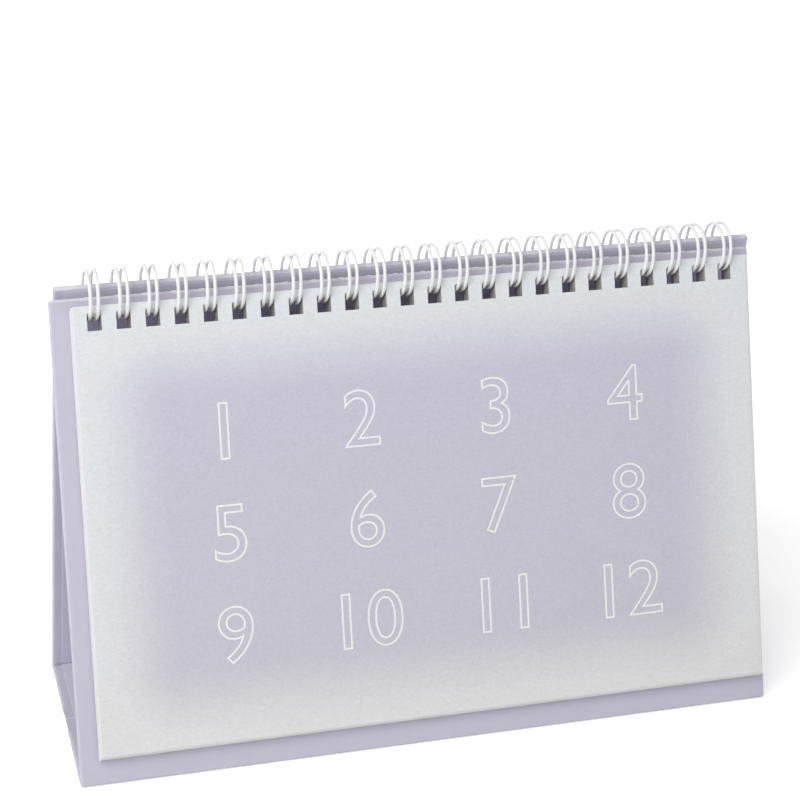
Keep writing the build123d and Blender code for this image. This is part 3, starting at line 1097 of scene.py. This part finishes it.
class CALENDAR_OT_month_leaves(bpy.types.Operator):
    """Twelve month leaves, each with its number and a ruled table of its days"""

    bl_idname = "calendar.month_leaves"
    bl_label = "Month leaves"

    WEEK = 7
    COLUMNS = np.linspace(0.29, 0.92, WEEK)
    ROWS = np.linspace(0.74, 0.1, 6)
    DAY_SIZE = 9 * MM
    MONTH_SIZE = 34 * MM
    MONTH_PLACE = (0.115, 0.7)
    HALF_RULE = 0.12 * MM

    def execute(self, context):
        sizes = context.scene.calendar_sizes
        colours = context.scene.calendar_colours
        papers = [paper_material(name, colours) for name in ("month_leaf_front", "leaf_paper", "leaf_cut")]
        inks = [paper_material(name, colours) for name in ("day_ink", "accent_ink")]
        figures = [figure(str(number), 0) for number in range(1, max(MONTH_DAYS) + 1)]
        weekday = FIRST_WEEKDAY
        for number, days in enumerate(MONTH_DAYS, start=1):
            node_name = f"month_leaf_{number:02d}"
            body = f"month_{number:02d}"
            name = f"month_sheet_{number:02d}"
            sheet = leaf_piece(node_name, name, body, papers, sizes.leaf_bow)
            flat, triangles, slots = self.table(sheet, number, weekday, days, figures)
            print_piece(
                f"month_print_{number:02d}", sheet, flat, triangles, inks, slots, sizes, body
            )
            weekday = (weekday + days) % self.WEEK
        return {"FINISHED"}

    def table(self, sheet, number, weekday, days, figures):
        """Month number at the left, and beside it seven columns of days under six rules.

        Day d stands in column (first weekday + d - 1) mod 7 and in the row of the whole part. It gives
        points, triangles and the number of each triangle's ink.
        """
        width, height = np.ptp(sheet.xs), np.ptp(sheet.ss)
        left, low = sheet.xs[0], sheet.ss[0]
        columns = left + width * self.COLUMNS
        rows = low + height * self.ROWS
        cell = np.arange(weekday, weekday + days)
        places = list(zip(columns[cell % self.WEEK], rows[cell // self.WEEK]))
        day_points, day_faces = set_type(figures[:days], places, self.DAY_SIZE, 0)
        month_place = (left + self.MONTH_PLACE[0] * width, low + self.MONTH_PLACE[1] * height)
        big_points, big_faces = set_type([figures[number - 1]], [month_place], self.MONTH_SIZE, 0)
        level = rows + 0.5 * (rows[0] - rows[1])
        ends = columns[[0, -1]] + 0.5 * BOTH_WAYS * (columns[1] - columns[0])
        rule_x = np.broadcast_to(ends[[0, 1, 1, 0]], (len(level), 4))
        rule_s = level[:, None] + self.HALF_RULE * np.array([-1, -1, 1, 1])
        rules = np.stack([rule_x, rule_s, np.zeros_like(rule_s)], -1).reshape(-1, 3)
        rule_faces = (np.arange(len(level)) * 4)[:, None, None] + np.array([[0, 1, 2], [0, 2, 3]])
        flat = np.concatenate([day_points, big_points, rules])
        big_start = len(day_points)
        rule_start = big_start + len(big_points)
        faces = [day_faces, big_faces + big_start, rule_faces.reshape(-1, 3) + rule_start]
        triangles = np.concatenate(faces)
        slots = np.ones(len(triangles))
        slots[: len(day_faces)] = 0
        return flat, triangles, slots


class CALENDAR_OT_stage(bpy.types.Operator):
    """Pale floor, soft studio light and the camera"""

    bl_idname = "calendar.stage"
    bl_label = "Stage"

    FLOOR_REACH = 4.0
    LIFT_START, LIFT_END = 0.12, 0.5
    NEAR_LIFT, FAR_LIFT = 0.45, 0.5
    # name, place and side of each lamp
    SOFTBOXES = (
        ("key", (-0.58, -0.64, 0.88), 0.65),
        ("fill", (0.8, -0.7, 0.5), 0.7),
        ("rim", (-0.85, 0.2, 0.42), 0.5),
    )

    def execute(self, context):
        scene = context.scene
        stage = scene.calendar_stage
        self.floor()
        self.room(scene, stage.room_light)
        for name, place, size in self.SOFTBOXES:
            self.softbox(name + "_softbox", place, size, getattr(stage, name + "_power"))
        lens = bpy.data.cameras.new("camera")
        lens.lens = stage.camera_lens
        lens.sensor_width = 36.0
        lens.shift_y = stage.camera_rise
        lens.clip_start = 0.01
        camera = bpy.data.objects.new("camera", lens)
        camera.location = stage.camera_place
        camera.rotation_euler = stage.camera_turn
        scene.collection.objects.link(camera)
        scene.camera = camera
        scene.view_settings.view_transform = "Standard"
        return {"FINISHED"}

    def floor(self):
        """A wide flat floor that takes the object's shadow and is lifted to white for the camera.

        The lift is a plain part plus a part that grows smoothly with the distance from the object.
        """
        corners = self.FLOOR_REACH * np.array([[-1, -1, 0], [1, -1, 0], [1, 1, 0], [-1, 1, 0]])
        material, tree, shader = new_material("pale_floor")
        shader.inputs["Base Color"].default_value = paint(250, 250, 251)
        shader.inputs["Roughness"].default_value = 0.9
        far = ramp(tree, distance(tree, object_place(tree)), self.LIFT_START, self.LIFT_END)
        lift = maths(tree, "MULTIPLY_ADD", far, self.FAR_LIFT, self.NEAR_LIFT)
        shader.inputs["Emission Color"].default_value = WHITE
        tree.links.new(maths(tree, "MULTIPLY", lift, self.seen(tree)), shader.inputs["Emission Strength"])
        floor = make_piece("floor", corners, np.array([[0, 1, 2], [0, 2, 3]]), [material], fix_normals=False)

    def room(self, scene, strength):
        """Even light from all round, and plain white behind the object."""
        world = bpy.data.worlds.new("room")
        world.use_nodes = True
        scene.world = world
        tree = world.node_tree
        sky = tree.nodes["Background"]
        sky.inputs["Color"].default_value = WHITE
        level = maths(tree, "MULTIPLY_ADD", self.seen(tree), 1.0 - strength, strength)
        tree.links.new(level, sky.inputs["Strength"])

    def seen(self, tree):
        """1 where the camera looks, straight, in a reflection or through glass, and 0 for lighting."""
        path = node(tree, "LightPath").outputs
        mirror = maths(tree, "MAXIMUM", path["Is Glossy Ray"], path["Is Transmission Ray"])
        return maths(tree, "MAXIMUM", path["Is Camera Ray"], mirror)

    def softbox(self, name, place, size, watts):
        """A square lamp turned to the object's middle."""
        lamp = bpy.data.lights.new(name, "AREA")
        lamp.size = size
        lamp.energy = watts
        holder = bpy.data.objects.new(name, lamp)
        holder.location = place
        middle = (CAD_BOX[0] + CAD_BOX[1]) / 2
        holder.rotation_euler = (middle - holder.location).to_track_quat("-Z", "Y").to_euler()
        bpy.context.scene.collection.objects.link(holder)


GROUPS = {
    "calendar_sizes": CalendarSizes,
    "calendar_colours": CalendarColours,
    "calendar_stage": CalendarStage,
}

STEPS = (
    CALENDAR_OT_wrap_boards,
    CALENDAR_OT_line_boards,
    CALENDAR_OT_fold_papers,
    CALENDAR_OT_crease_papers,
    CALENDAR_OT_binding_wire,
    CALENDAR_OT_cover_leaf,
    CALENDAR_OT_month_leaves,
    CALENDAR_OT_stage,
)


class CALENDAR_PT_steps(bpy.types.Panel):
    """Every step of the calendar, in order"""

    bl_label = "Desk calendar"
    bl_idname = "CALENDAR_PT_steps"
    bl_space_type = "VIEW_3D"
    bl_region_type = "UI"
    bl_category = "Calendar"

    def draw(self, context):
        for step in STEPS:
            self.layout.operator(step.bl_idname)
        for group in GROUPS:
            values = getattr(context.scene, group)
            box = self.layout.box()
            for name in values.__annotations__:
                box.prop(values, name)


def register():
    for made in (*GROUPS.values(), *STEPS, CALENDAR_PT_steps):
        bpy.utils.register_class(made)
    for name, group in GROUPS.items():
        setattr(bpy.types.Scene, name, PointerProperty(type=group))


def unregister():
    for name in GROUPS:
        delattr(bpy.types.Scene, name)
    for made in (CALENDAR_PT_steps, *reversed(STEPS), *GROUPS.values()):
        bpy.utils.unregister_class(made)


def main():
    register()
    bpy.ops.calendar.wrap_boards()
    bpy.ops.calendar.line_boards()
    bpy.ops.calendar.fold_papers()
    bpy.ops.calendar.crease_papers()
    bpy.ops.calendar.binding_wire()
    bpy.ops.calendar.cover_leaf()
    bpy.ops.calendar.month_leaves()
    bpy.ops.calendar.stage()


if __name__ == "__main__":
    main()
